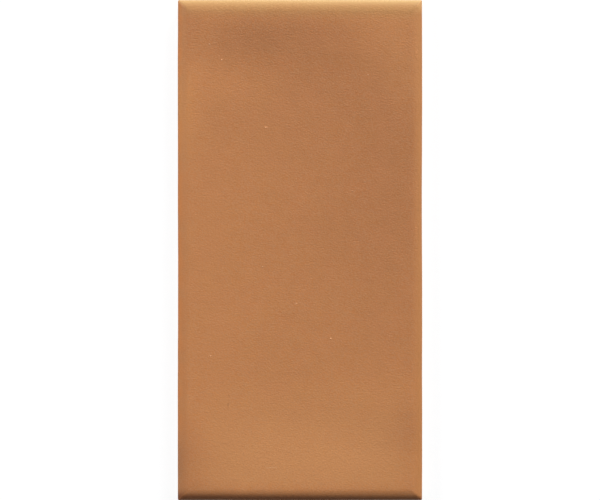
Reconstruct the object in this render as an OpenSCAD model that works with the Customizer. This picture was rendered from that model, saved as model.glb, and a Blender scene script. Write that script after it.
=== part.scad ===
// Glazed ceramic wall tile with rolled edges and a keyed back, pressed and fired in one piece.
// It lies on its back: +Z points out of the glazed face, +Y runs along the length, and the
// origin is the middle of the back. All sizes are in millimetres.

/* [Tile] */
// Width of the tile from side wall to side wall
tile_w = 73; // [50:0.5:200]
// Length of the tile from end wall to end wall
tile_l = 149.5; // [60:0.5:400]
// Thickness from the back to the glazed face
tile_t = 8; // [6.5:0.25:14]

/* [Rolled edge] */
// Radius of the shoulder, where the glazed face rolls down to the edge
shoulder_r = 4.5; // [3.75:0.25:6]
// Distance that the shoulder reaches in from the wall
shoulder_reach = 3.6; // [1.5:0.1:4.4]
// Radius of the arris, the tight turn between the shoulder and the wall
arris_r = 0.8; // [0.3:0.1:1.4]
// Radius of the four upright corners
corner_r = 0.5; // [0.2:0.1:2]

/* [Wall] */
// Height of the skirt, the tapered lower part of the wall
skirt_h = 3; // [1.5:0.25:3.5]
// Distance that the skirt tapers in on its way down to the back
skirt_taper = 0.4; // [0.1:0.1:1]
// Chamfer round the edge of the back
back_chamfer = 0.6; // [0.2:0.1:1.2]

/* [Keyed back] */
// Depth of the key pockets, which the adhesive grips
pocket_depth = 0.8; // [0.3:0.1:2]
// Slope of a pocket's sides, measured inwards from its mouth to its floor
pocket_slope = 0.5; // [0.1:0.1:1.5]
// Spacing of the pockets, before it is evened out to fill the back
pocket_pitch = 11.5; // [8:0.5:20]
// Width of the ribs between the pockets
rib_w = 2.2; // [1:0.1:4]
// Width of the plain border round the pockets
border_w = 4; // [2:0.5:8]

/* [Hidden] */
$fn = 96;
glaze_colour = [0.71, 0.49, 0.32];

// A cutting shape runs this far past what it cuts.
overrun = 0.5;

// The shoulder's arc and the arris's arc are tangent, so one angle, measured from upright,
// fixes where they meet and how high up the wall the arris begins.
shoulder_centre_z = tile_t - shoulder_r;
meet_angle = asin((shoulder_reach - arris_r) / (shoulder_r - arris_r));
wall_top = shoulder_centre_z + (shoulder_r - arris_r) * cos(meet_angle);

// How far in from the walls the flat back begins, and its pocketed part.
back_inset = skirt_taper + back_chamfer;
pocket_inset = back_inset + border_w;

// The number of pockets across a span is even, so a rib runs down the middle of the tile.
function pocket_count(span) = 2 * max(1, round((span + rib_w) / (2 * pocket_pitch)));

// Slice of a disc between two angles, both measured from upright towards +X.
module disc_slice(radius, from, to) {
    intersection() {
        circle(radius);
        polygon([[0, 0], for (angle = [from, to]) 2 * radius * [sin(angle), cos(angle)]]);
    }
}

// Half of a cross-section, from the middle of a tile that is span wide to its wall at +X.
module half_section(span) {
    wall = span / 2;
    shoulder_centre = [wall - shoulder_reach, shoulder_centre_z];
    arris_centre = [wall - arris_r, wall_top];
    polygon([
        [0, 0],
        [wall - back_inset, 0],
        [wall - skirt_taper, back_chamfer],
        [wall, skirt_h],
        [wall, wall_top],
        arris_centre + arris_r * [sin(meet_angle), cos(meet_angle)],
        [wall - shoulder_reach, tile_t],
        [0, tile_t]
    ]);
    translate(shoulder_centre) disc_slice(shoulder_r, 0, meet_angle);
    translate(arris_centre) disc_slice(arris_r, meet_angle, 90);
}

// Whole cross-section: flat back, chamfer, skirt, wall, arris, shoulder and flat face.
module section(span) {
    half_section(span);
    mirror([1, 0]) half_section(span);
}

// Trapezium for each pocket along a span, widest at its mouth on the back.
module pocket_sections(span) {
    count = pocket_count(span);
    pitch = (span + rib_w) / count;
    mouth = (pitch - rib_w) / 2;
    flare = overrun * pocket_slope / pocket_depth;
    for (i = [0 : count - 1])
        translate([(i - (count - 1) / 2) * pitch, 0])
            polygon([
                [-mouth - flare, -overrun],
                [mouth + flare, -overrun],
                [mouth - pocket_slope, pocket_depth],
                [pocket_slope - mouth, pocket_depth]
            ]);
}

// A 2D outline drawn in X and Z, drawn out along Y by depth.
module drawn_along_y(depth) {
    rotate([90, 0, 0]) linear_extrude(depth, center = true) children();
}

// A 2D outline drawn in Y and Z, drawn out along X by depth.
module drawn_along_x(depth) {
    rotate([90, 0, 90]) linear_extrude(depth, center = true) children();
}

// The waste outside one upright corner, standing at the tile's +X +Y corner.
module corner_waste() {
    translate([tile_w / 2 - corner_r, tile_l / 2 - corner_r, -overrun])
        linear_extrude(tile_t + 2 * overrun)
            difference() {
                square(corner_r + overrun);
                circle(corner_r);
            }
}

// The pressed body before its back is keyed.
module blank() {
    difference() {
        intersection() {
            drawn_along_y(tile_l + 2 * overrun) section(tile_w);
            drawn_along_x(tile_w + 2 * overrun) section(tile_l);
        }
        for (x = [0, 1], y = [0, 1])
            mirror([x, 0, 0]) mirror([0, y, 0]) corner_waste();
    }
}

// Shallow pockets in rows and columns, with a lattice of ribs left standing between them.
module key_pockets() {
    across = tile_w - 2 * pocket_inset;
    along = tile_l - 2 * pocket_inset;
    intersection() {
        drawn_along_y(tile_l) pocket_sections(across);
        drawn_along_x(tile_w) pocket_sections(along);
    }
}

module tile() {
    color(glaze_colour)
        difference() {
            blank();
            key_pockets();
        }
}

tile();
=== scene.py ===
"""The look of a satin-glazed wall tile: its fired face, its glaze line and its keyed back."""

import math
from types import SimpleNamespace

import bpy
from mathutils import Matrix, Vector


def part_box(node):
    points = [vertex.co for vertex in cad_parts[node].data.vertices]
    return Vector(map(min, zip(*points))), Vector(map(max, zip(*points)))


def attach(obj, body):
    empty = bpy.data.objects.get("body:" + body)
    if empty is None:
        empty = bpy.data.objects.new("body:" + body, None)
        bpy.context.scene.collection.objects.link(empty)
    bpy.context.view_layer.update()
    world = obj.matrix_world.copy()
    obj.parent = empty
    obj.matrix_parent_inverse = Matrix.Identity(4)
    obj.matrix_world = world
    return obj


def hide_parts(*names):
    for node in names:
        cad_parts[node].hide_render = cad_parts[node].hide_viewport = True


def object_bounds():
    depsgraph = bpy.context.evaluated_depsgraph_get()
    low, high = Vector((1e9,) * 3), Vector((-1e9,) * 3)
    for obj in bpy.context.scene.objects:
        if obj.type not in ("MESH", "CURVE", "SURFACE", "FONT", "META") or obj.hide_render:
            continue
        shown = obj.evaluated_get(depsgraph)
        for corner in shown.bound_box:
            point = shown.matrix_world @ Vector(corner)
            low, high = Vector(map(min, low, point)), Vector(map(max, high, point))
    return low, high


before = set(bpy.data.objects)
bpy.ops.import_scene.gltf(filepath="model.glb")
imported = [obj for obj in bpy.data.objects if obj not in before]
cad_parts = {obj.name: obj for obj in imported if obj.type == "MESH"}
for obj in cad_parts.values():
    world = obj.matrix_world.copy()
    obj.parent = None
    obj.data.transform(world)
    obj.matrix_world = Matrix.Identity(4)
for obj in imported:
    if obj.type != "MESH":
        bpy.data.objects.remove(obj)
CAD_LOW, CAD_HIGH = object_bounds()
TILE_LOW, TILE_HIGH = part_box("tile")
MM = 0.001

# ---- Sizes of the tile, in metres -------------------------------------------------------
WIDTH = TILE_HIGH.x - TILE_LOW.x
LENGTH = TILE_HIGH.y - TILE_LOW.y
THICKNESS = TILE_HIGH.z - TILE_LOW.z

SHOULDER_RADIUS = 4.5 * MM
SHOULDER_REACH = 3.6 * MM
ARRIS_RADIUS = 0.8 * MM
CORNER_RADIUS = 0.5 * MM
SKIRT_HEIGHT = 3 * MM
SKIRT_TAPER = 0.4 * MM
BACK_CHAMFER = 0.6 * MM
POCKET_DEPTH = 0.8 * MM
POCKET_SLOPE = 0.5 * MM
POCKET_PITCH = 11.5 * MM
RIB_WIDTH = 2.2 * MM
BORDER_WIDTH = 4 * MM

# The shoulder's arc and the arris's arc are tangent where the surface is turned this far down.
MEET_TURN = math.asin((SHOULDER_REACH - ARRIS_RADIUS) / (SHOULDER_RADIUS - ARRIS_RADIUS))
WALL_TOP = (THICKNESS - SHOULDER_RADIUS
            + (SHOULDER_RADIUS - ARRIS_RADIUS) * math.cos(MEET_TURN))
BACK_INSET = SKIRT_TAPER + BACK_CHAMFER

# ---- The glaze and how it lies on the fired body ----------------------------------------
GLAZE_THICKNESS = 0.14 * MM
GLAZE_LINE = 3.75 * MM
GLAZE_LINE_SWING = 0.5 * MM
SWING_LENGTH = 14 * MM
DRIP_LENGTH = 4 * MM
GLAZE_LIP = 0.15 * MM
DISH_DEPTH = 0.45 * MM
DISH_RIM = 22 * MM

# The mitres between the shoulders are softened over up to this height.
MITRE_SOFTENING = 0.35 * MM

# Slow and quick hollows of the fired skin: how wide they are, and how deep they sink in the
# glaze and in the bare body.
SLOW_HOLLOW = 34 * MM
QUICK_HOLLOW = 7 * MM
GLAZE_SLOW_SINK = 0.12 * MM
GLAZE_QUICK_SINK = 0.025 * MM
BODY_QUICK_SINK = 0.06 * MM

# Grit that the glaze has sealed in: how many grains a square metre holds, their size, the
# least and the greatest girth beside that size, their rise as a share of their girth, and how
# far in from the shoulder they begin.
GRIT_DENSITY = 1500.0
GRIT_RADIUS = 0.12 * MM
LEAST_GIRTH = 0.8
GREATEST_GIRTH = 1.2
GRIT_RISE = 0.3
GRIT_MARGIN = 4 * MM

# Seeds of the hollows, of where the grains lie and of their girths.
SKIN_SEED = 7.0
GRIT_SEED = 3
GIRTH_SEED = 5

# Points of the fired skin and a grain that lie closer than this are one point.
WELD = 0.003 * MM


def pocket_count(span):
    """How many pockets fit a span: an even number, so that a rib runs down the middle."""
    return 2 * max(1, round((span + RIB_WIDTH) / (2 * POCKET_PITCH)))


POCKET_INSET = BACK_INSET + BORDER_WIDTH
POCKETS_ACROSS = pocket_count(WIDTH - 2 * POCKET_INSET)
POCKETS_ALONG = pocket_count(LENGTH - 2 * POCKET_INSET)

# ---- Lines of the lattice that the tile is shaped from ----------------------------------
ARRIS_LINES = 4
BAND_LINES = 14
POCKET_LINES = 16

# Rings of the wall, from the back up: where the glaze starts, and the topmost.
GLAZE_RING = 9
TOP_RING = 14


# ---- Rules written as node trees --------------------------------------------------------
class Term:
    """One value in a node tree, so that a rule of shape or colour reads as a formula."""

    def __init__(self, tree, socket):
        self.tree, self.socket = tree, socket

    def rule(self, operation, *others):
        node = self.tree.nodes.new("ShaderNodeMath")
        node.operation = operation
        for socket, value in zip(node.inputs, (self, *others)):
            feed(self.tree, socket, value)
        return Term(self.tree, node.outputs[0])

    def __add__(self, other):
        return self.rule("ADD", other)

    def __sub__(self, other):
        return self.rule("SUBTRACT", other)

    def __mul__(self, other):
        return self.rule("MULTIPLY", other)

    def __truediv__(self, other):
        return self.rule("DIVIDE", other)

    def __rsub__(self, other):
        return (self * -1) + other

    def __rtruediv__(self, other):
        return self.rule("POWER", -1.0) * other

    __radd__ = __add__
    __rmul__ = __mul__


def feed(tree, socket, value):
    """Puts a Term, another node's output or a plain value on a socket."""
    if isinstance(value, Term):
        value = value.socket
    if isinstance(value, bpy.types.NodeSocket):
        tree.links.new(value, socket)
    else:
        socket.default_value = value


def add_node(tree, kind, out=0, settings=None, **inputs):
    """Adds a node with its settings and inputs, and returns one of its outputs as a Term."""
    node = tree.nodes.new(kind)
    for name, value in (settings or {}).items():
        setattr(node, name, value)
    for name, value in inputs.items():
        feed(tree, node.inputs[name.replace("_", " ")], value)
    return Term(tree, node.outputs[out])


def new_rule(name, kind, inputs, outputs):
    """A node group with named sockets. Returns the tree, its inputs as Terms and its output."""
    tree = bpy.data.node_groups.new(name, kind)
    sockets = {"float": "NodeSocketFloat", "vector": "NodeSocketVector", "int": "NodeSocketInt",
               "colour": "NodeSocketColor", "geometry": "NodeSocketGeometry",
               "material": "NodeSocketMaterial"}
    for socket_name, (form, value) in inputs.items():
        socket = tree.interface.new_socket(socket_name, in_out="INPUT",
                                           socket_type=sockets[form])
        if value is not None:
            socket.default_value = value
    for socket_name, form in outputs.items():
        tree.interface.new_socket(socket_name, in_out="OUTPUT", socket_type=sockets[form])
    entry = tree.nodes.new("NodeGroupInput")
    exit_node = tree.nodes.new("NodeGroupOutput")
    terms = {socket.name: Term(tree, socket) for socket in entry.outputs if socket.name}
    return tree, terms, exit_node


def finish_rule(tree, exit_node, **results):
    """Joins a node group's results to its outputs."""
    for name, value in results.items():
        feed(tree, exit_node.inputs[name.replace("_", " ")], value)
    return tree


def use_rule(tree, rule, inputs):
    """Places a node group in a tree and returns its outputs by name, as Terms."""
    kind = "GeometryNodeGroup" if tree.bl_idname == "GeometryNodeTree" else "ShaderNodeGroup"
    node = tree.nodes.new(kind)
    node.node_tree = rule
    for name, value in inputs.items():
        feed(tree, node.inputs[name], value)
    return {socket.name: Term(tree, socket) for socket in node.outputs if socket.name}


def choose(when, no, yes):
    """One of two values: no where the condition is 0, and yes where it is 1."""
    return no + (yes - no) * when


def climb(tree, value, start, end, low=0.0, high=1.0, form="SMOOTHSTEP"):
    """low up to start and high from end, with a smooth or a straight climb between them."""
    return add_node(tree, "ShaderNodeMapRange", settings={"interpolation_type": form},
                    Value=value, From_Min=start, From_Max=end, To_Min=low, To_Max=high)


def fade(tree, value, start, end):
    """1 up to start and 0 from end, with a smooth fall between them."""
    return climb(tree, value, start, end, 1.0, 0.0)


def soft_lower(a, b, blend):
    """The lower of two values, with the crease between them softened over blend."""
    near = (1 - (a - b).rule("ABSOLUTE") / blend).rule("MAXIMUM", 0.0)
    return a.rule("MINIMUM", b) - near * near * blend * 0.25


def pick(tree, index, values):
    """The value in a list at an index."""
    node = tree.nodes.new("GeometryNodeIndexSwitch")
    node.data_type = "FLOAT"
    while len(node.index_switch_items) < len(values):
        node.index_switch_items.new()
    feed(tree, node.inputs["Index"], index)
    for socket, value in zip(node.inputs[1:], values):
        feed(tree, socket, value)
    return Term(tree, node.outputs[0])


def axes(tree, vector):
    """A vector's three parts, as Terms."""
    node = tree.nodes.new("ShaderNodeSeparateXYZ")
    feed(tree, node.inputs[0], vector)
    return [Term(tree, socket) for socket in node.outputs]


def vector_rule(tree, operation, *vectors, scale=None):
    """A sum, a product or a scaled copy of vectors."""
    node = tree.nodes.new("ShaderNodeVectorMath")
    node.operation = operation
    for socket, vector in zip(node.inputs, vectors):
        feed(tree, socket, vector)
    if scale is not None:
        feed(tree, node.inputs["Scale"], scale)
    return Term(tree, node.outputs[0])


def noise(tree, vector, wavelength, detail=2.0, roughness=0.5, seed=None):
    """Smooth random swells of about a wavelength, from 0 to 1."""
    settings = {"noise_dimensions": "3D" if seed is None else "4D"}
    extra = {} if seed is None else {"W": seed}
    return add_node(tree, "ShaderNodeTexNoise", settings=settings, Vector=vector,
                    Scale=1 / wavelength, Detail=detail, Roughness=roughness, **extra)


# ---- Camera and studio ------------------------------------------------------------------
def look_down_on_the_tile():
    """A long lens straight above the glazed face, with the tile filling the height in view."""
    width_by_height = 6 / 5
    length_in_view = 0.9985 * LENGTH
    nudge = 0.03 * MM
    data = bpy.data.cameras.new("camera")
    data.lens = 150
    distance = length_in_view * width_by_height * data.lens / data.sensor_width
    data.clip_start, data.clip_end = distance / 10, distance * 10
    camera = bpy.data.objects.new("camera", data)
    camera.location = (0, nudge, WALL_TOP + distance)
    bpy.context.collection.objects.link(camera)
    bpy.context.scene.camera = camera


def softbox(name, azimuth, elevation, watts, in_gloss=True, size=0.9, distance=2.5):
    """A square lamp that faces the tile. Azimuth turns from +Y towards +X, in degrees. With
    in_gloss off, it lights the glaze but leaves no glare on it."""
    data = bpy.data.lights.new(name, "AREA")
    data.size = size
    data.energy = watts
    data.color = (1, 0.985, 0.95)
    lamp = bpy.data.objects.new(name, data)
    turn, rise = math.radians(azimuth), math.radians(elevation)
    lamp.location = (distance * math.sin(turn) * math.cos(rise),
                     distance * math.cos(turn) * math.cos(rise),
                     distance * math.sin(rise))
    lamp.rotation_euler = (-lamp.location).to_track_quat("-Z", "Y").to_euler()
    lamp.visible_camera = False
    lamp.visible_glossy = in_gloss
    bpy.context.collection.objects.link(lamp)


def seen_directly(tree):
    """1 for a ray that shows the backdrop, straight or in a reflection, and 0 for one that
    only carries light."""
    path = tree.nodes.new("ShaderNodeLightPath")
    kinds = [Term(tree, path.outputs[name])
             for name in ("Is Camera Ray", "Is Glossy Ray", "Is Transmission Ray")]
    return kinds[0].rule("MAXIMUM", kinds[1]).rule("MAXIMUM", kinds[2])


def hang_backdrop():
    """A world that looks white, and doesn't light the tile."""
    world = bpy.data.worlds.new("studio")
    world.use_nodes = True
    tree = world.node_tree
    background = tree.nodes["Background"]
    background.inputs["Color"].default_value = (1, 1, 1, 1)
    feed(tree, background.inputs["Strength"], seen_directly(tree))
    bpy.context.scene.world = world


def studio_paper():
    """Matt white paper that looks white apart from the tile's shadow."""
    material = bpy.data.materials.new("studio paper")
    material.use_nodes = True
    tree = material.node_tree
    tree.nodes.clear()
    output = tree.nodes.new("ShaderNodeOutputMaterial")
    paper = tree.nodes.new("ShaderNodeBsdfDiffuse")
    paper.inputs["Color"].default_value = (0.85, 0.85, 0.85, 1)
    dim_paper = tree.nodes.new("ShaderNodeBsdfDiffuse")
    dim_paper.inputs["Color"].default_value = (0.2, 0.2, 0.2, 1)
    glow = tree.nodes.new("ShaderNodeEmission")
    glow.inputs["Color"].default_value = (0.985, 0.99, 1, 1)
    glow.inputs["Strength"].default_value = 0.88
    lifted = tree.nodes.new("ShaderNodeAddShader")
    shown = tree.nodes.new("ShaderNodeMixShader")
    tree.links.new(dim_paper.outputs[0], lifted.inputs[0])
    tree.links.new(glow.outputs[0], lifted.inputs[1])
    feed(tree, shown.inputs["Fac"], seen_directly(tree))
    tree.links.new(paper.outputs[0], shown.inputs[1])
    tree.links.new(lifted.outputs[0], shown.inputs[2])
    tree.links.new(shown.outputs[0], output.inputs["Surface"])
    return material


def lay_floor():
    """A wide sheet of paper under the tile."""
    reach = 1.5
    mesh = bpy.data.meshes.new("floor")
    corners = [(-reach, -reach, 0), (reach, -reach, 0), (reach, reach, 0), (-reach, reach, 0)]
    mesh.from_pydata(corners, [], [(0, 1, 2, 3)])
    mesh.materials.append(studio_paper())
    floor = bpy.data.objects.new("floor", mesh)
    floor.location.z = CAD_LOW.z
    bpy.context.collection.objects.link(floor)


def set_up_studio():
    """Soft lamps in an arc behind the tile's far end, with its near end left in soft shade."""
    look_down_on_the_tile()
    softbox("far_right", azimuth=28, elevation=30, watts=42)
    softbox("far_left", azimuth=-60, elevation=36, watts=41)
    softbox("right", azimuth=60, elevation=18, watts=29)
    softbox("low_far", azimuth=4, elevation=8, watts=27, in_gloss=False)
    hang_backdrop()
    lay_floor()
    bpy.context.scene.view_settings.view_transform = "Standard"


# ---- The tile's shape: a closed lattice, laid on the rolled face, the wall and the back ---
def steps_from_rim(line, last_line):
    """Lattice steps from the nearer rim, and the side of the middle that the line is on."""
    middle = last_line * 0.5
    offset = line - middle
    return middle - offset.rule("ABSOLUTE"), offset.rule("SIGN")


def rolled_line_rule():
    """Where a lattice line of the glazed side runs: its place across the tile, its height on
    the rolled edge, and how far it is in from where the shoulder begins."""
    tree, size, result = new_rule("rolled line", "GeometryNodeTree", {
        "Line": ("float", 0), "Last Line": ("float", 1), "Band Lines": ("float", 14),
        "Arris Lines": ("float", 4), "Half Span": ("float", 1), "Thickness": ("float", 1),
        "Shoulder Radius": ("float", 1), "Shoulder Reach": ("float", 1),
        "Arris Radius": ("float", 1), "Meet Turn": ("float", 1), "Wall Top": ("float", 1),
    }, {"Place": "float", "Height": "float", "Into Face": "float"})
    steps, side = steps_from_rim(size["Line"], size["Last Line"])
    arris_lines, band_lines = size["Arris Lines"], size["Band Lines"]
    turn = (climb(tree, steps, 0.0, arris_lines, math.pi / 2, size["Meet Turn"], "LINEAR")
            + climb(tree, steps, arris_lines, band_lines, 0.0, size["Meet Turn"] * -1, "LINEAR"))
    sine, cosine = turn.rule("SINE"), turn.rule("COSINE")
    on_arris = steps.rule("LESS_THAN", arris_lines)
    inset = choose(on_arris, size["Shoulder Reach"] - size["Shoulder Radius"] * sine,
                   size["Arris Radius"] * (1 - sine))
    height = choose(on_arris, size["Thickness"] - size["Shoulder Radius"] * (1 - cosine),
                    size["Wall Top"] + size["Arris Radius"] * cosine)
    spacing = ((size["Half Span"] - size["Shoulder Reach"])
               / (size["Last Line"] * 0.5 - band_lines))
    into_face = (steps - band_lines).rule("MAXIMUM", 0.0) * spacing
    finish_rule(tree, result, Place=side * (size["Half Span"] - inset - into_face),
                Height=height, Into_Face=into_face)
    return tree


def keyed_line_rule():
    """Where a lattice line of the back runs, and how far down into a pocket's side it lies,
    from 0 on a rib to 1 on a pocket's floor."""
    soften = 0.08 * MM
    crowding = 1.6
    tree, size, result = new_rule("keyed line", "GeometryNodeTree", {
        "Line": ("float", 0), "Last Line": ("float", 1), "Band Lines": ("float", 14),
        "Pocket Lines": ("float", 16), "Pockets": ("float", 2), "Half Back": ("float", 1),
        "Border Width": ("float", 1), "Rib Width": ("float", 1), "Pocket Slope": ("float", 1),
    }, {"Place": "float", "Sink": "float"})
    steps, side = steps_from_rim(size["Line"], size["Last Line"])
    half_rib, slope = size["Rib Width"] * 0.5, size["Pocket Slope"]
    first_rib = size["Border Width"] - half_rib
    pitch = (size["Half Back"] - first_rib) * 2 / size["Pockets"]
    into_border = (steps / size["Band Lines"]).rule("MINIMUM", 1.0)
    border = into_border.rule("POWER", crowding) * first_rib

    pitches = (steps - size["Band Lines"]).rule("MAXIMUM", 0.0) / size["Pocket Lines"]
    whole = pitches.rule("FLOOR")
    from_middle = pitches - whole - 0.5
    mouth = pitch * 0.5 - half_rib
    floor_edge = mouth - slope
    # Lines from a pocket's middle out to the middle of its rib: four on the floor, three down
    # its side and two on the rib.
    stations = [0.0, floor_edge - 1.4 * MM, floor_edge - 0.4 * MM, floor_edge - soften,
                floor_edge + soften * 0.5, mouth - slope * 0.5, mouth - soften * 0.5,
                mouth + soften, pitch * 0.5]
    station = (from_middle.rule("ABSOLUTE") * size["Pocket Lines"]).rule("ROUND")
    off_centre = pick(tree, station, stations)
    across = whole * pitch + pitch * 0.5 + from_middle.rule("SIGN") * off_centre
    across = choose(pitches.rule("GREATER_THAN", 0.0), 0.0, across)
    finish_rule(tree, result, Place=side * (size["Half Back"] - border - across),
                Sink=fade(tree, off_centre, floor_edge - soften, mouth + soften))
    return tree


def soft_corner_rule():
    """Rounds the four upright corners of the plan, ring by ring."""
    tree, size, result = new_rule("soft corner", "GeometryNodeTree", {
        "Across": ("float", 0), "Along": ("float", 0), "Half Width": ("float", 1),
        "Half Length": ("float", 1), "Radius": ("float", 1),
    }, {"Across": "float", "Along": "float"})
    centre_x = size["Half Width"] - size["Radius"]
    centre_y = size["Half Length"] - size["Radius"]
    past_x = size["Across"].rule("ABSOLUTE") - centre_x
    past_y = size["Along"].rule("ABSOLUTE") - centre_y
    ring = past_x.rule("MAXIMUM", past_y)
    far = (past_x * past_x + past_y * past_y).rule("SQRT")
    at_corner = past_x.rule("MINIMUM", past_y).rule("GREATER_THAN", 0.0)
    draw_in = ring / far
    rounded_x = size["Across"].rule("SIGN") * (centre_x + past_x * draw_in)
    rounded_y = size["Along"].rule("SIGN") * (centre_y + past_y * draw_in)
    finish_rule(tree, result, Across=choose(at_corner, size["Across"], rounded_x),
                Along=choose(at_corner, size["Along"], rounded_y))
    return tree


def wall_rings(size, line_height):
    """Height and inset of each ring of the wall: chamfer, skirt, bare wall, the rolled lip of
    the glaze, and the glazed wall up to the arris."""
    chamfer, taper = size["Back Chamfer"], size["Skirt Taper"]
    skirt, glaze = size["Skirt Height"], size["Glaze Thickness"]
    lip = size["Glaze Lip"]

    def on_skirt(share):
        return chamfer + (skirt - chamfer) * share, taper + (glaze - taper) * share

    rings = [(0.0, taper + chamfer)]
    rings += [(chamfer * rise, taper + chamfer * (1 - rise)) for rise in (0.08, 0.5, 0.92)]
    rings += [on_skirt(share) for share in (0.05, 0.35, 0.7, 1.0)]
    rings += [(line_height - lip, glaze), (line_height - lip * 0.2, glaze * 0.9),
              (line_height + lip * 0.3, glaze * 0.35), (line_height + lip, 0.0)]
    rings += [(line_height + (size["Wall Top"] - line_height) * share, 0.0)
              for share in (0.35, 0.7, 1.0)]
    heights, insets = zip(*rings)
    return heights, insets


def tile_inputs():
    """The inputs of the tile's tree: sizes in metres, counts of pockets, and finishes."""
    sizes = {
        "Width": WIDTH, "Length": LENGTH, "Thickness": THICKNESS,
        "Shoulder Radius": SHOULDER_RADIUS, "Shoulder Reach": SHOULDER_REACH,
        "Arris Radius": ARRIS_RADIUS, "Meet Turn": MEET_TURN, "Wall Top": WALL_TOP,
        "Corner Radius": CORNER_RADIUS, "Skirt Height": SKIRT_HEIGHT,
        "Skirt Taper": SKIRT_TAPER, "Back Chamfer": BACK_CHAMFER,
        "Border Width": BORDER_WIDTH, "Rib Width": RIB_WIDTH, "Pocket Depth": POCKET_DEPTH,
        "Pocket Slope": POCKET_SLOPE, "Glaze Thickness": GLAZE_THICKNESS,
        "Glaze Line": GLAZE_LINE, "Glaze Line Swing": GLAZE_LINE_SWING,
        "Swing Length": SWING_LENGTH, "Drip Length": DRIP_LENGTH, "Glaze Lip": GLAZE_LIP,
        "Dish Depth": DISH_DEPTH, "Dish Rim": DISH_RIM, "Mitre Softening": MITRE_SOFTENING,
        "Slow Hollow": SLOW_HOLLOW, "Quick Hollow": QUICK_HOLLOW,
        "Glaze Slow Sink": GLAZE_SLOW_SINK, "Glaze Quick Sink": GLAZE_QUICK_SINK,
        "Body Quick Sink": BODY_QUICK_SINK, "Skin Seed": SKIN_SEED,
        "Grit Density": GRIT_DENSITY, "Grit Radius": GRIT_RADIUS, "Least Girth": LEAST_GIRTH,
        "Greatest Girth": GREATEST_GIRTH, "Grit Rise": GRIT_RISE, "Grit Margin": GRIT_MARGIN,
        "Weld": WELD,
    }
    counts = {"Pockets Across": POCKETS_ACROSS, "Pockets Along": POCKETS_ALONG}
    inputs = {name: ("float", value) for name, value in sizes.items()}
    inputs.update({name: ("int", value) for name, value in counts.items()})
    inputs.update({name: ("material", None) for name in ("Glaze", "Biscuit", "Grit")})
    return inputs


def lattice_box(tree, last_x, last_y, place):
    """A box of lattice points one step apart. Returns it, and each point's line across, line
    along and ring."""
    spans = add_node(tree, "ShaderNodeCombineXYZ", X=last_x, Y=last_y, Z=TOP_RING)
    lattice = add_node(tree, "GeometryNodeMeshCube", Size=spans, Vertices_X=last_x + 1,
                       Vertices_Y=last_y + 1, Vertices_Z=TOP_RING + 1)
    half = vector_rule(tree, "SCALE", spans, scale=0.5)
    index = vector_rule(tree, "ADD", place, half)
    return lattice, [part.rule("ROUND") for part in axes(tree, index)]


def run_of_lines(tree, size, line_x, line_y, last_x, last_y):
    """Where the lattice's lines run on the glazed side, across and along, and on the back."""
    edge_sizes = {name: size[name] for name in (
        "Thickness", "Shoulder Radius", "Shoulder Reach", "Arris Radius", "Meet Turn",
        "Wall Top")}
    edge_sizes.update({"Band Lines": BAND_LINES, "Arris Lines": ARRIS_LINES})
    key_sizes = {name: size[name] for name in ("Border Width", "Rib Width", "Pocket Slope")}
    key_sizes.update({"Band Lines": BAND_LINES, "Pocket Lines": POCKET_LINES})
    back_inset = size["Skirt Taper"] + size["Back Chamfer"]
    rolled, keyed = rolled_line_rule(), keyed_line_rule()
    runs = []
    for line, last, span, pockets in (
            (line_x, last_x, size["Width"], size["Pockets Across"]),
            (line_y, last_y, size["Length"], size["Pockets Along"])):
        runs.append(use_rule(tree, rolled, {
            "Line": line, "Last Line": last, "Half Span": span * 0.5, **edge_sizes}))
        runs.append(use_rule(tree, keyed, {
            "Line": line, "Last Line": last, "Half Back": span * 0.5 - back_inset,
            "Pockets": pockets, **key_sizes}))
    return runs


def glaze_line_height(tree, size, across, along):
    """The height of the glaze line, which swings slowly round the wall, with small drips."""
    rim = add_node(tree, "ShaderNodeCombineXYZ", X=across, Y=along,
                   Z=size["Skin Seed"] * 0.1)
    swing = (noise(tree, rim, size["Swing Length"], detail=2.0) - 0.5) * 2
    drips = noise(tree, rim, size["Drip Length"], detail=1.0) - 0.5
    return size["Glaze Line"] + size["Glaze Line Swing"] * (swing + drips * 0.5)


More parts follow.
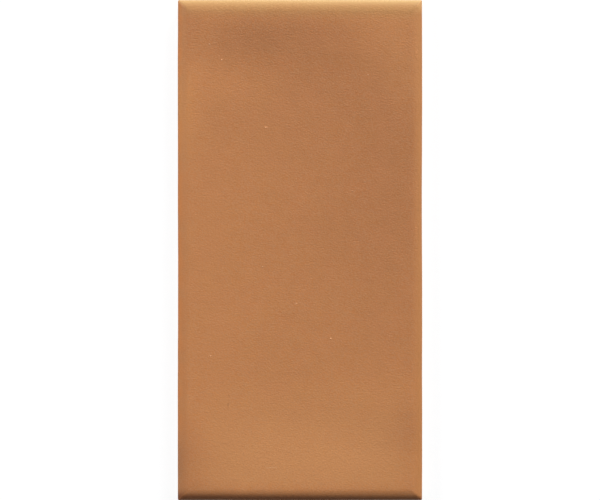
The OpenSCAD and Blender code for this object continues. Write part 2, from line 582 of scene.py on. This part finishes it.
def pressed_shape(tree, size, place):
    """The pressed tile: the lattice laid on the dished face, the wall and the keyed back.
    Returns it with each point's ring, and with how far into the face the point lies."""
    last_x = size["Pockets Across"] * POCKET_LINES + 2 * BAND_LINES
    last_y = size["Pockets Along"] * POCKET_LINES + 2 * BAND_LINES
    lattice, (line_x, line_y, ring) = lattice_box(tree, last_x, last_y, place)
    face_x, back_x, face_y, back_y = run_of_lines(tree, size, line_x, line_y, last_x, last_y)

    line_height = glaze_line_height(tree, size, face_x["Place"], face_y["Place"])
    heights, insets = wall_rings(size, line_height)
    wall_height = pick(tree, ring, heights)
    share = pick(tree, ring, insets) / (size["Skirt Taper"] + size["Back Chamfer"])
    dish = (size["Dish Depth"] * climb(tree, face_x["Into Face"], 0.0, size["Dish Rim"])
            * climb(tree, face_y["Into Face"], 0.0, size["Dish Rim"]))
    drop = size["Thickness"] - face_x["Height"].rule("MINIMUM", face_y["Height"])
    # A thousandth of a millimetre is added, so that this never divides by 0.
    mitre = (drop * 0.5).rule("MINIMUM", size["Mitre Softening"]) + 0.001 * MM
    face_height = soft_lower(face_x["Height"], face_y["Height"], mitre) - dish
    back_height = size["Pocket Depth"] * back_x["Sink"] * back_y["Sink"]
    on_back = ring.rule("LESS_THAN", 0.5)
    on_face = ring.rule("GREATER_THAN", TOP_RING - 0.5)
    height = choose(on_back, choose(on_face, wall_height, face_height), back_height)
    plan = use_rule(tree, soft_corner_rule(), {
        "Across": choose(share, face_x["Place"], back_x["Place"]),
        "Along": choose(share, face_y["Place"], back_y["Place"]),
        "Half Width": size["Width"] * 0.5, "Half Length": size["Length"] * 0.5,
        "Radius": size["Corner Radius"]})
    shaped_place = add_node(tree, "ShaderNodeCombineXYZ", X=plan["Across"], Y=plan["Along"],
                            Z=height)

    kept = tree.nodes.new("GeometryNodeCaptureAttribute")
    feed(tree, kept.inputs["Geometry"], lattice)
    into_face = face_x["Into Face"].rule("MINIMUM", face_y["Into Face"])
    for name, value in {"Ring": ring, "Into Face": into_face * on_face}.items():
        kept.capture_items.new("FLOAT", name)
        feed(tree, kept.inputs[name], value)
    shaped = add_node(tree, "GeometryNodeSetPosition", Geometry=kept.outputs["Geometry"],
                      Position=shaped_place)
    return shaped, Term(tree, kept.outputs["Ring"]), Term(tree, kept.outputs["Into Face"])


def hollows(tree, vector, wavelength, seed):
    """Shallow hollows of about a wavelength: 0 on the high places and 1 in the deepest."""
    return climb(tree, noise(tree, vector, wavelength, detail=1.0, seed=seed), 0.38, 0.78)


def fired_skin(tree, size, pressed, glazed, place):
    """The fired skin, which sinks a little here and there, and never rises above the pressed
    shape."""
    slow = hollows(tree, place, size["Slow Hollow"], size["Skin Seed"])
    quick = hollows(tree, place, size["Quick Hollow"], size["Skin Seed"])
    sunk = choose(glazed, quick * size["Body Quick Sink"],
                  slow * size["Glaze Slow Sink"] + quick * size["Glaze Quick Sink"])
    normal = add_node(tree, "GeometryNodeInputNormal")
    offset = vector_rule(tree, "SCALE", normal, scale=sunk * -1)
    skin = add_node(tree, "GeometryNodeSetPosition", Geometry=pressed, Offset=offset)
    return add_node(tree, "GeometryNodeSetShadeSmooth", Geometry=skin)


def mark_finish(tree, mesh, finish):
    """Notes on each face which finish it takes: 0 for biscuit, 1 for glaze and 2 for grit."""
    return add_node(tree, "GeometryNodeStoreNamedAttribute", Geometry=mesh, Name="finish",
                    Value=finish, settings={"domain": "FACE"})


def grit_on(tree, skin, where, size):
    """Small flat domes where grains of grit lie under the glaze."""
    points = add_node(tree, "GeometryNodeDistributePointsOnFaces", Mesh=skin, Selection=where,
                      Density=size["Grit Density"], Seed=GRIT_SEED)
    grain = add_node(tree, "GeometryNodeMeshIcoSphere", Radius=size["Grit Radius"],
                     Subdivisions=3)
    girth = add_node(tree, "FunctionNodeRandomValue", out=1, settings={"data_type": "FLOAT"},
                     Seed=GIRTH_SEED)
    # For a float, the least and the greatest value are the sockets 2 and 3.
    feed(tree, girth.socket.node.inputs[2], size["Least Girth"])
    feed(tree, girth.socket.node.inputs[3], size["Greatest Girth"])
    spread = add_node(tree, "ShaderNodeCombineXYZ", X=girth, Y=girth,
                      Z=girth * size["Grit Rise"])
    grains = add_node(tree, "GeometryNodeInstanceOnPoints", Points=points, Instance=grain,
                      Scale=spread)
    real = add_node(tree, "GeometryNodeRealizeInstances", Geometry=grains)
    return add_node(tree, "GeometryNodeSetShadeSmooth", Geometry=real)


def sealed_in(tree, skin, grit, weld):
    """The skin and the grains of grit as one closed skin."""
    whole = tree.nodes.new("GeometryNodeMeshBoolean")
    whole.operation, whole.solver = "UNION", "MANIFOLD"
    for mesh in (skin, grit):
        tree.links.new(mesh.socket, whole.inputs["Mesh 2"])
    return add_node(tree, "GeometryNodeMergeByDistance", Geometry=whole.outputs["Mesh"],
                    Distance=weld)


def dressed_in_finishes(tree, size, skin):
    """Gives each face the finish that is noted on it."""
    finish = add_node(tree, "GeometryNodeInputNamedAttribute", Name="finish")
    real = add_node(tree, "GeometryNodeRealizeInstances", Geometry=skin)
    dressed = add_node(tree, "GeometryNodeSetMaterial", Geometry=real,
                       Material=size["Biscuit"])
    for name, above in (("Glaze", 0.5), ("Grit", 1.5)):
        dressed = add_node(tree, "GeometryNodeSetMaterial", Geometry=dressed,
                           Selection=finish.rule("GREATER_THAN", above), Material=size[name])
    return dressed


def tile_tree():
    """The whole fired tile as one closed skin, with named inputs for its sizes."""
    tree, size, result = new_rule("fired tile", "GeometryNodeTree", tile_inputs(),
                                  {"Tile": "geometry"})
    tree.is_modifier = True
    place = add_node(tree, "GeometryNodeInputPosition")
    pressed, ring, into_face = pressed_shape(tree, size, place)
    glazed = ring.rule("GREATER_THAN", GLAZE_RING + 0.25)
    fired = mark_finish(tree, fired_skin(tree, size, pressed, glazed, place), glazed)
    well_in = into_face.rule("GREATER_THAN", size["Grit Margin"])
    grit = mark_finish(tree, grit_on(tree, fired, well_in, size), 2.0)
    whole = sealed_in(tree, fired, grit, size["Weld"])
    finish_rule(tree, result, Tile=dressed_in_finishes(tree, size, whole))
    return tree


# ---- Colours of the finishes, as red, green and blue in linear light ----------------------
DEEP_CARAMEL = (0.3463, 0.1285, 0.0475, 1)
PALE_CARAMEL = (0.5569, 0.2265, 0.0795, 1)
RUSSET = (0.52, 0.19, 0.084, 1)
# Painted glints of the glaze's fine grain.
PAINTED_GLINT = (0.5, 0.43, 0.3, 1)
SALLOW = (0.53, 0.255, 0.107, 1)
# Yellower where the glaze runs thin, which also paints the golden tone of the far highlight.
HONEY = (0.45, 0.25, 0.094, 1)
# Painted highlight on the far crest.
PAINTED_HIGHLIGHT_STRAW = (0.52, 0.33, 0.147, 1)
TOFFEE = (0.36, 0.17, 0.062, 1)
# Painted highlight colours of the right shoulder.
PAINTED_HIGHLIGHT_AMBER = (0.475, 0.192, 0.06, 1)
PAINTED_HIGHLIGHT_GOLD = (0.72, 0.4, 0.16, 1)
# Painted light on the left shoulder.
PAINTED_LIGHT_RUST = (0.575, 0.208, 0.064, 1)
SAND = (0.64, 0.28, 0.085, 1)
# Painted shade where the left shoulder turns into the face.
PAINTED_SHADE_CHESTNUT = (0.44, 0.17, 0.055, 1)
# Painted shade of the near shoulder and of its left corner.
PAINTED_SHADE_UMBER = (0.2, 0.065, 0.027, 1)
PAINTED_SHADE_BLACK = (0.13, 0.036, 0.01, 1)
TREACLE = (0.25, 0.09, 0.036, 1)
IRON_IN_GLAZE = (0.16, 0.06, 0.03, 1)
DARK_HAIR = (0.2, 0.08, 0.04, 1)
PALE_HAIR = (0.7, 0.42, 0.24, 1)

DEEP_GRIT = (0.58, 0.31, 0.16, 1)
PALE_GRIT = (0.73, 0.47, 0.29, 1)

DEEP_BISCUIT = (0.6, 0.43, 0.28, 1)
PALE_BISCUIT = (0.76, 0.63, 0.47, 1)
IRON_IN_BISCUIT = (0.2, 0.09, 0.05, 1)
KILN_WASH = (0.86, 0.84, 0.8, 1)
GLAZE_FRECKLE = (0.42, 0.18, 0.075, 1)
GLAZE_STAIN = (0.5, 0.28, 0.15, 1)


# ---- Effects that the finishes share -----------------------------------------------------
def blend(tree, share, first, second):
    """Two colours mixed by a share from 0 to 1."""
    node = tree.nodes.new("ShaderNodeMix")
    node.data_type, node.blend_type = "RGBA", "MIX"
    # For colours, these sockets of a Mix node are the factor, A and B, and its output 2.
    feed(tree, node.inputs[0], share)
    feed(tree, node.inputs[6], first)
    feed(tree, node.inputs[7], second)
    return Term(tree, node.outputs[2])


def tinted(tree, colour, tints):
    """A colour with tints laid over it in turn, each by its share from 0 to 1."""
    for share, tint in tints:
        colour = blend(tree, share, colour, tint)
    return colour


def tone_and_painted_shade_rule():
    """A tone between deep and pale: a slow lean, a lift that it is given, clouds, and a fine
    mottle. In the glaze, the lift carries painted light and shade.
    """
    tree, give, result = new_rule("tone and painted shade", "ShaderNodeTree", {
        "Place": ("vector", None), "Deep": ("colour", (0, 0, 0, 1)),
        "Pale": ("colour", (1, 1, 1, 1)), "Middle": ("float", 0.5),
        "Lean Across": ("float", 0.0), "Lean Along": ("float", 0.0), "Lift": ("float", 0.0),
        "Cloud Size": ("float", 0.03), "Cloud Strength": ("float", 0.2),
        "Mottle Size": ("float", 0.003), "Mottle Strength": ("float", 0.1),
    }, {"Colour": "colour"})
    x, y, _ = axes(tree, give["Place"])
    clouds = noise(tree, give["Place"], give["Cloud Size"], detail=3.0)
    mottle = noise(tree, give["Place"], give["Mottle Size"], detail=4.0, roughness=0.7)
    shade = (give["Middle"] + x * give["Lean Across"] + y * give["Lean Along"] + give["Lift"]
             + (clouds - 0.5) * give["Cloud Strength"]
             + (mottle - 0.5) * give["Mottle Strength"])
    shade = shade.rule("MAXIMUM", 0.0).rule("MINIMUM", 1.0)
    finish_rule(tree, result, Colour=blend(tree, shade, give["Deep"], give["Pale"]))
    return tree


def fired_grain_rule():
    """The fine relief of a fired surface: two sizes of rounded grain, from 0 to 1."""
    tree, give, result = new_rule("fired grain", "ShaderNodeTree", {
        "Place": ("vector", None), "Grain Size": ("float", 0.0007),
        "Fine Size": ("float", 0.0003), "Fine Share": ("float", 0.3),
    }, {"Height": "float"})
    grain = noise(tree, give["Place"], give["Grain Size"], detail=1.0)
    fine = noise(tree, give["Place"], give["Fine Size"], detail=1.0)
    finish_rule(tree, result, Height=choose(give["Fine Share"], grain, fine))
    return tree


def scattered_specks_rule():
    """Round specks strewn at random: a mask of them, and the rise of each as a low dome."""
    tree, give, result = new_rule("scattered specks", "ShaderNodeTree", {
        "Place": ("vector", None), "Spacing": ("float", 0.004), "Radius": ("float", 0.0002),
        "Share": ("float", 0.5),
    }, {"Mask": "float", "Dome": "float"})
    cells = tree.nodes.new("ShaderNodeTexVoronoi")
    feed(tree, cells.inputs["Vector"], give["Place"])
    feed(tree, cells.inputs["Scale"], 1 / give["Spacing"])
    away = Term(tree, cells.outputs["Distance"]) * give["Spacing"]
    draw = axes(tree, cells.outputs["Color"])
    radius = give["Radius"] * (draw[0] * 0.8 + 0.4)
    near = (1 - away / radius).rule("MAXIMUM", 0.0)
    present = draw[1].rule("LESS_THAN", give["Share"])
    finish_rule(tree, result, Mask=climb(tree, near, 0.0, 0.5) * present,
                Dome=near.rule("SQRT") * present)
    return tree


def hair_mark_rule():
    """A short hair-thin mark that tapers at both ends and wavers a little from side to side."""
    radians_a_metre = 900
    tree, give, result = new_rule("hair mark", "ShaderNodeTree", {
        "Along": ("float", 0.0), "Across": ("float", 0.0), "Length": ("float", 0.004),
        "Width": ("float", 0.0003),
    }, {"Mask": "float"})
    reach = give["Along"].rule("ABSOLUTE") / (give["Length"] * 0.5)
    waver = (give["Along"] * radians_a_metre).rule("SINE") * give["Width"] * 0.35
    off = (give["Across"] - waver).rule("ABSOLUTE") / (give["Width"] * 0.5)
    finish_rule(tree, result, Mask=fade(tree, reach, 0.6, 1.0) * fade(tree, off, 0.4, 1.0))
    return tree


def soft_patch_rule():
    """A soft round or oval patch: 1 in its middle, and 0 from its rim outwards."""
    tree, give, result = new_rule("soft patch", "ShaderNodeTree", {
        "Off Across": ("float", 0.0), "Off Along": ("float", 0.0), "Across": ("float", 0.02),
        "Along": ("float", 0.02),
    }, {"Mask": "float"})
    part_x = give["Off Across"] / give["Across"]
    part_y = give["Off Along"] / give["Along"]
    away = (part_x * part_x + part_y * part_y).rule("SQRT")
    finish_rule(tree, result, Mask=fade(tree, away, 0.0, 1.0))
    return tree


def fired_grain(tree, rules, place, grain_size, fine_size, fine_share):
    """The height of the fired grain at a place, from 0 to 1."""
    return use_rule(tree, rules["grain"], {"Place": place, "Grain Size": grain_size,
                                           "Fine Size": fine_size,
                                           "Fine Share": fine_share})["Height"]


def specks(tree, rules, place, spacing, radius, share):
    """Specks about a spacing apart, of which only a share is there: their mask and dome."""
    return use_rule(tree, rules["specks"], {"Place": place, "Spacing": spacing,
                                            "Radius": radius, "Share": share})


def hair_mark(tree, rules, along, across, length, width):
    """The mask of a hair mark, by how far a spot is from its middle, along and across it."""
    return use_rule(tree, rules["hair"], {"Along": along, "Across": across,
                                          "Length": length, "Width": width})["Mask"]


def soft_patch(tree, rules, off_across, off_along, across, along):
    """The mask of a patch, by how far a spot is from its middle and how far it reaches."""
    return use_rule(tree, rules["patch"], {"Off Across": off_across, "Off Along": off_along,
                                           "Across": across, "Along": along})["Mask"]


def new_material(name):
    """A material with its Principled shader, and the tile's own coordinates as a Term."""
    material = bpy.data.materials.new(name)
    material.use_nodes = True
    tree = material.node_tree
    coordinates = tree.nodes.new("ShaderNodeTexCoord")
    place = Term(tree, coordinates.outputs["Object"])
    return material, tree, tree.nodes["Principled BSDF"], place


def raise_skin(tree, shader, height, depth):
    """Fine relief of a given depth, in metres, for a height from 0 to 1."""
    feed(tree, shader.inputs["Normal"],
         add_node(tree, "ShaderNodeBump", Height=height, Distance=depth, Strength=1.0))


# ---- Caramel glaze ------------------------------------------------------------------------
def spot_on_tile(tree, place):
    """Where a spot is: its place on each axis, and how far it is in from each rim."""
    x, y, z = axes(tree, place)
    return SimpleNamespace(x=x, y=y, z=z, far=LENGTH / 2 - y, near=LENGTH / 2 + y,
                           left=WIDTH / 2 + x, right=WIDTH / 2 - x)


def painted_light_and_shade_of_face(tree, rules, at):
    """Painted light and shade on the face. Returns masks of painted light along the near rim, of
    painted shade in a soft band along the far rim and down the right rim, and of painted shade
    beside the near left corner. The last term says how much paler all of this makes the glaze."""
    from_rims = soft_lower(at.far, at.right, 40 * MM)
    # Painted shade in a soft band along the far rim and down the right rim.
    far_band_painted_shade = (climb(tree, at.far, 4 * MM, 10 * MM)
                 * climb(tree, at.right, 0.3 * MM, 3 * MM)
                 * fade(tree, from_rims, 9 * MM, 60 * MM)
                 * climb(tree, at.left, 2 * MM, 14 * MM)
                 * climb(tree, at.near, 25 * MM, 85 * MM))
    # Painted light along the near rim.
    near_band_painted_light = climb(tree, at.near, 2 * MM, 7.2 * MM) * fade(tree, at.near, 12 * MM, 42 * MM)
    paler = near_band_painted_light * 0.17 - far_band_painted_shade * 0.2

    # Patches of darker and paler tone, partly painted shade and light and partly the glaze's own
    # tone: how far each patch's middle is from a side and from an end, its reach both ways, and
    # how much paler it is.
    for off_across, off_along, across, along, change in (
            (at.left - 22 * MM, at.far - 11 * MM, 24 * MM, 11 * MM, -0.15),
            (at.left - 16 * MM, at.far - 25 * MM, 24 * MM, 12 * MM, 0.2),
            (at.left - 1 * MM, at.far - 9 * MM, 9 * MM, 13 * MM, -0.3),
            (at.left - 3 * MM, at.far - 36 * MM, 10 * MM, 20 * MM, 0.09),
            (at.right - 11 * MM, at.far - 9 * MM, 22 * MM, 17 * MM, 0.32),
            (at.right - 5 * MM, at.far - 25 * MM, 10 * MM, 16 * MM, 0.16),
            (at.right - 2 * MM, at.near - 20 * MM, 14 * MM, 15 * MM, -0.3),
            (at.right - 18 * MM, at.near - 12 * MM, 26 * MM, 9 * MM, 0.1),
            (at.right - 14 * MM, at.near - 33 * MM, 24 * MM, 14 * MM, 0.12),
            (at.left - 9 * MM, at.near - 4 * MM, 14 * MM, 5 * MM, -0.2),
            (at.left, at.near - 11 * MM, 4 * MM, 19 * MM, -0.2)):
        paler = paler + soft_patch(tree, rules, off_across, off_along, across, along) * change
    # Painted shade beside the near left corner.
    left_corner_painted_shade = soft_patch(tree, rules, at.left, at.near - 11 * MM, 14 * MM, 20 * MM)
    return near_band_painted_light, far_band_painted_shade, left_corner_painted_shade, paler + left_corner_painted_shade * -0.52


def face_tints(tree, rules, at, place, patchy, near_band_painted_light):
    """Tints of the flat face: it is russet in patches, full of fine pale flecks that are painted
    glints of its grain, and sallow in the painted light along the near rim and by the far right
    corner."""
    # Painted glints: fine pale flecks.
    painted_glints = noise(tree, place, wavelength=0.39 * MM, detail=1.0)
    near_sallow = (near_band_painted_light * climb(tree, at.left, 3 * MM, 16 * MM)
                   * climb(tree, at.right, 0.0, 12 * MM))
    far_sallow = soft_patch(tree, rules, at.right, at.far - 14 * MM, 26 * MM, 30 * MM)
    return [(climb(tree, patchy, 0.3, 0.7) * 0.14, RUSSET),
            (climb(tree, painted_glints, 0.3, 0.7) * 0.115, PAINTED_GLINT),
            (near_sallow * 0.36 + far_sallow * 0.16, SALLOW)]


def far_shoulder_tints(tree, at, patchy):
    """Tints of the far shoulder: the glaze runs thin and yellower over it, which also paints the
    golden tone of the highlight there, with a painted highlight on the crest that is palest
    towards the right, and a darker line just inside the crest."""
    # Thin glaze, yellower, which also paints the golden tone of the highlight.
    thin = fade(tree, at.far - at.x * 0.016, 0.4 * MM, 6.8 * MM)
    # Painted highlight on the crest, stronger towards the right.
    crest = fade(tree, at.far, 0.6 * MM, 2.3 * MM)
    inside_crest_line = (climb(tree, at.far, 0.35 * MM, 1.3 * MM)
                * fade(tree, at.far, 2.1 * MM, 3.4 * MM))
    return [(thin * climb(tree, patchy, 0.3, 0.7, 0.7, 1.0), HONEY),
            (crest * (0.8 + at.x * 6), PAINTED_HIGHLIGHT_STRAW),
            (inside_crest_line * 0.42, TOFFEE)]


def side_shoulder_tints(tree, rules, at, patchy, left_corner_painted_shade):
    """Painted light and shade on the side shoulders, which end at the far mitres: a painted
    highlight on the right one, amber and golden at its far end, and painted light on the left
    one, a lighter rust tone in patches, outside the painted shade by the near left corner. The
    left one has painted shade where it turns into the face, and is sandy together with the face
    beside it towards the far end."""
    # Painted highlight on the right shoulder, golden at its far end.
    right_side = climb(tree, at.far - at.right, -0.3 * MM, 0.5 * MM)
    right_roll_painted_highlight = fade(tree, at.right, 0.3 * MM, SHOULDER_REACH) * right_side
    # Painted light on the left shoulder.
    left_side = climb(tree, at.far - at.left, -0.3 * MM, 0.5 * MM)
    left_roll_painted_light = fade(tree, at.left, 0.3 * MM, SHOULDER_REACH) * left_side * (1 - left_corner_painted_shade)
    sandy = soft_patch(tree, rules, at.left, at.far - 33 * MM, 8 * MM, 20 * MM)
    # Painted shade where the left shoulder turns into the face.
    turned = (climb(tree, at.left, 0.9 * MM, 1.8 * MM)
              * fade(tree, at.left, 1.8 * MM, SHOULDER_REACH) * left_side)
    return [(right_roll_painted_highlight * 0.8, PAINTED_HIGHLIGHT_AMBER),
            (right_roll_painted_highlight * climb(tree, at.far, 1 * MM, 5 * MM, 0.8, 0.0), PAINTED_HIGHLIGHT_GOLD),
            (left_roll_painted_light * climb(tree, patchy, 0.35, 0.65, 0.4, 1.0), PAINTED_LIGHT_RUST),
            (sandy * 0.3, SAND),
            (turned * climb(tree, at.far, 10 * MM, 40 * MM, 0.6, 0.25), PAINTED_SHADE_CHESTNUT)]


def near_shoulder_tints(tree, at, near_roll_painted_shade):
    """Tints of the near end: painted shade on the near shoulder, umber, and nearly black in its
    left corner, and treacle where the glaze lies thick on the wall above the glaze line."""
    # Painted shade, nearly black, in the near left corner.
    near_left_painted_shade = (fade(tree, at.near, 1.0 * MM, 4.4 * MM)
                   * climb(tree, at.near - at.left, -0.2 * MM, 0.8 * MM))
    thick = fade(tree, at.z, GLAZE_LINE + 0.2 * MM, GLAZE_LINE + 1.3 * MM)
    # Painted shade on the near shoulder.
    return [(near_roll_painted_shade * climb(tree, at.near, 0.3 * MM, 1.0 * MM, 0.55, 0.76), PAINTED_SHADE_UMBER),
            (near_left_painted_shade * 0.75, PAINTED_SHADE_BLACK),
            (thick * 0.5, TREACLE)]


def marks_in_the_glaze(tree, rules, at, place):
    """A few iron specks under the glaze, one dark hair mark and one pale one."""
    iron = specks(tree, rules, place, 9 * MM, 0.22 * MM, 0.25)
    dark_hair = hair_mark(tree, rules, at.near - 30 * MM, at.left - 15.2 * MM,
                          4.6 * MM, 0.42 * MM)
    pale_hair = hair_mark(tree, rules, at.left - 28 * MM, at.near - 10 * MM,
                          4.2 * MM, 0.3 * MM)
    broken = climb(tree, noise(tree, place, wavelength=1.2 * MM), 0.35, 0.6)
    return [(iron["Mask"] * 0.3, IRON_IN_GLAZE),
            (dark_hair * broken * 0.5, DARK_HAIR),
            (pale_hair * 0.3, PALE_HAIR)]


def caramel_glaze(rules):
    """Satin caramel glaze, with painted shade along the far and right rims and on the near
    shoulder, painted light along the near rim, a paler break over the far shoulder that also
    paints its golden highlight, and darker glaze above the glaze line."""
    material, tree, shader, place = new_material("caramel glaze")
    at = spot_on_tile(tree, place)
    near_band_painted_light, far_band_painted_shade, left_corner_painted_shade, paler = painted_light_and_shade_of_face(tree, rules, at)
    # Painted shade on the near shoulder.
    near_roll_painted_shade = fade(tree, at.near + at.x * 0.009, 0.7 * MM, 2.4 * MM)
    patchy = noise(tree, place, wavelength=5 * MM, detail=2.0)
    # The lean makes the glaze paler towards the near end and the left, and the lift carries the
    # painted light and shade of the face.
    shade = use_rule(tree, rules["shade"], {
        "Place": place, "Deep": DEEP_CARAMEL, "Pale": PALE_CARAMEL,
        "Middle": 0.64, "Lean Across": -2.8, "Lean Along": -1.75, "Lift": paler,
        "Cloud Size": 26 * MM, "Cloud Strength": 0.12,
        "Mottle Size": 3.5 * MM, "Mottle Strength": 0.37})
    colour = tinted(tree, shade["Colour"], (
        face_tints(tree, rules, at, place, patchy, near_band_painted_light)
        + far_shoulder_tints(tree, at, patchy)
        + side_shoulder_tints(tree, rules, at, patchy, left_corner_painted_shade)
        + near_shoulder_tints(tree, at, near_roll_painted_shade)
        + marks_in_the_glaze(tree, rules, at, place)))

    # Satin all over, a touch glossier in the band of painted shade along the far and right rims,
    # duller on the near shoulder, and with faint smears along the tile.
    along_tile = vector_rule(tree, "MULTIPLY", place, (1.0, 0.35, 1.0))
    smears = noise(tree, along_tile, wavelength=16 * MM, detail=3.0)
    roughness = 0.5 + (smears - 0.5) * 0.08 - far_band_painted_shade * 0.02 + near_roll_painted_shade * 0.2

    # Its grain is half as long again across the tile as along it. It is stronger towards the
    # far end, the right and both sides, and faintest by the near end.
    across_tile = vector_rule(tree, "MULTIPLY", place, (0.66, 1.0, 1.0))
    grain = fired_grain(tree, rules, across_tile, 0.76 * MM, 0.42 * MM, 0.7)
    sides = climb(tree, at.x.rule("ABSOLUTE"), 12 * MM, 32 * MM)
    near_end = fade(tree, at.near, 5 * MM, 20 * MM)
    strength = 0.92 + at.x * 1.2 + at.y * 2.8 + sides * 0.13 - near_end * 0.1

    feed(tree, shader.inputs["Base Color"], colour)
    feed(tree, shader.inputs["Roughness"], roughness)
    shader.inputs["Specular IOR Level"].default_value = 0.36
    shader.inputs["Specular Tint"].default_value = (1, 1, 0.8, 1)
    raise_skin(tree, shader, grain * strength, 0.09 * MM)
    return material


# ---- Grit and biscuit ---------------------------------------------------------------------
def pale_grit(rules):
    """Grains of unmelted grit that show pale through the glaze over them."""
    material, tree, shader, place = new_material("pale grit")
    shade = use_rule(tree, rules["shade"], {
        "Place": place, "Deep": DEEP_GRIT, "Pale": PALE_GRIT,
        "Cloud Size": 5 * MM, "Cloud Strength": 1.2,
        "Mottle Size": 0.3 * MM, "Mottle Strength": 0.5})
    grain = fired_grain(tree, rules, place, 0.3 * MM, 0.15 * MM, 0.4)
    feed(tree, shader.inputs["Base Color"], shade["Colour"])
    feed(tree, shader.inputs["Roughness"], 0.58 - grain * 0.16)
    raise_skin(tree, shader, grain, 0.01 * MM)
    return material


def cream_biscuit(rules):
    """The bare fired body: pressed grain, iron specks, white kiln wash on the ribs of the back,
    and freckles of glaze below the glaze line."""
    material, tree, shader, place = new_material("cream biscuit")
    _, _, z = axes(tree, place)
    shade = use_rule(tree, rules["shade"], {
        "Place": place, "Deep": DEEP_BISCUIT, "Pale": PALE_BISCUIT,
        "Middle": 0.5, "Lean Across": 2.0, "Lean Along": -1.5,
        "Cloud Size": 30 * MM, "Cloud Strength": 0.7,
        "Mottle Size": 2.2 * MM, "Mottle Strength": 0.45})
    iron = specks(tree, rules, place, 3.2 * MM, 0.2 * MM, 0.35)

    # White wash, rubbed off the kiln shelf onto the ribs, with gaps in it.
    patchy = noise(tree, place, wavelength=6 * MM, detail=4.0, roughness=0.65)
    wash = fade(tree, z, 0.02 * MM, 0.25 * MM) * climb(tree, patchy, 0.42, 0.6)

    # Freckles of glaze that reached past the glaze line, and a faint stain just below it.
    close = climb(tree, z, GLAZE_LINE - 2.2 * MM, GLAZE_LINE - 0.2 * MM)
    freckles = specks(tree, rules, place, 1.1 * MM, 0.3 * MM, 0.6)["Mask"] * close
    colour = tinted(tree, shade["Colour"], [
        (iron["Mask"] * 0.6, IRON_IN_BISCUIT), (wash * 0.7, KILN_WASH),
        (freckles * 0.75, GLAZE_FRECKLE), (close * 0.35, GLAZE_STAIN)])

    pores = specks(tree, rules, place, 0.9 * MM, 0.14 * MM, 0.5)
    grain = fired_grain(tree, rules, place, 0.5 * MM, 0.2 * MM, 0.45)
    feed(tree, shader.inputs["Base Color"], colour)
    feed(tree, shader.inputs["Roughness"], 0.86 - freckles * 0.35)
    raise_skin(tree, shader, grain - pores["Dome"] * 0.8, 0.05 * MM)
    return material


# ---- Pieces -----------------------------------------------------------------------------
def make_from_tree(name, tree, materials):
    """Runs a node tree and keeps its result as a plain mesh."""
    carrier = bpy.data.objects.new(name, bpy.data.meshes.new(name))
    bpy.context.collection.objects.link(carrier)
    modifier = carrier.modifiers.new("shape", "NODES")
    modifier.node_group = tree
    for item in tree.interface.items_tree:
        if item.name in materials:
            modifier[item.identifier] = materials[item.name]
    graph = bpy.context.evaluated_depsgraph_get()
    mesh = bpy.data.meshes.new_from_object(carrier.evaluated_get(graph))
    mesh.name = name
    # The tree counts its finishes from 1, with none at 0, so the numbers move down to match.
    slots = [0] * len(mesh.polygons)
    mesh.polygons.foreach_get("material_index", slots)
    ahead = max(slots) + 1 - len(mesh.materials)
    mesh.polygons.foreach_set("material_index", [max(0, slot - ahead) for slot in slots])
    mesh.attributes.remove(mesh.attributes["finish"])
    carrier.modifiers.remove(modifier)
    carrier.data = mesh
    return carrier


def make_tile():
    """The glazed tile, which stands for the pressed solid."""
    rules = {"shade": tone_and_painted_shade_rule(), "grain": fired_grain_rule(),
             "specks": scattered_specks_rule(), "hair": hair_mark_rule(),
             "patch": soft_patch_rule()}
    finishes = {"Glaze": caramel_glaze(rules), "Biscuit": cream_biscuit(rules),
                "Grit": pale_grit(rules)}
    tile = make_from_tree("glazed_tile", tile_tree(), finishes)
    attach(tile, "root")
    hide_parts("tile")
    return tile


set_up_studio()
make_tile()
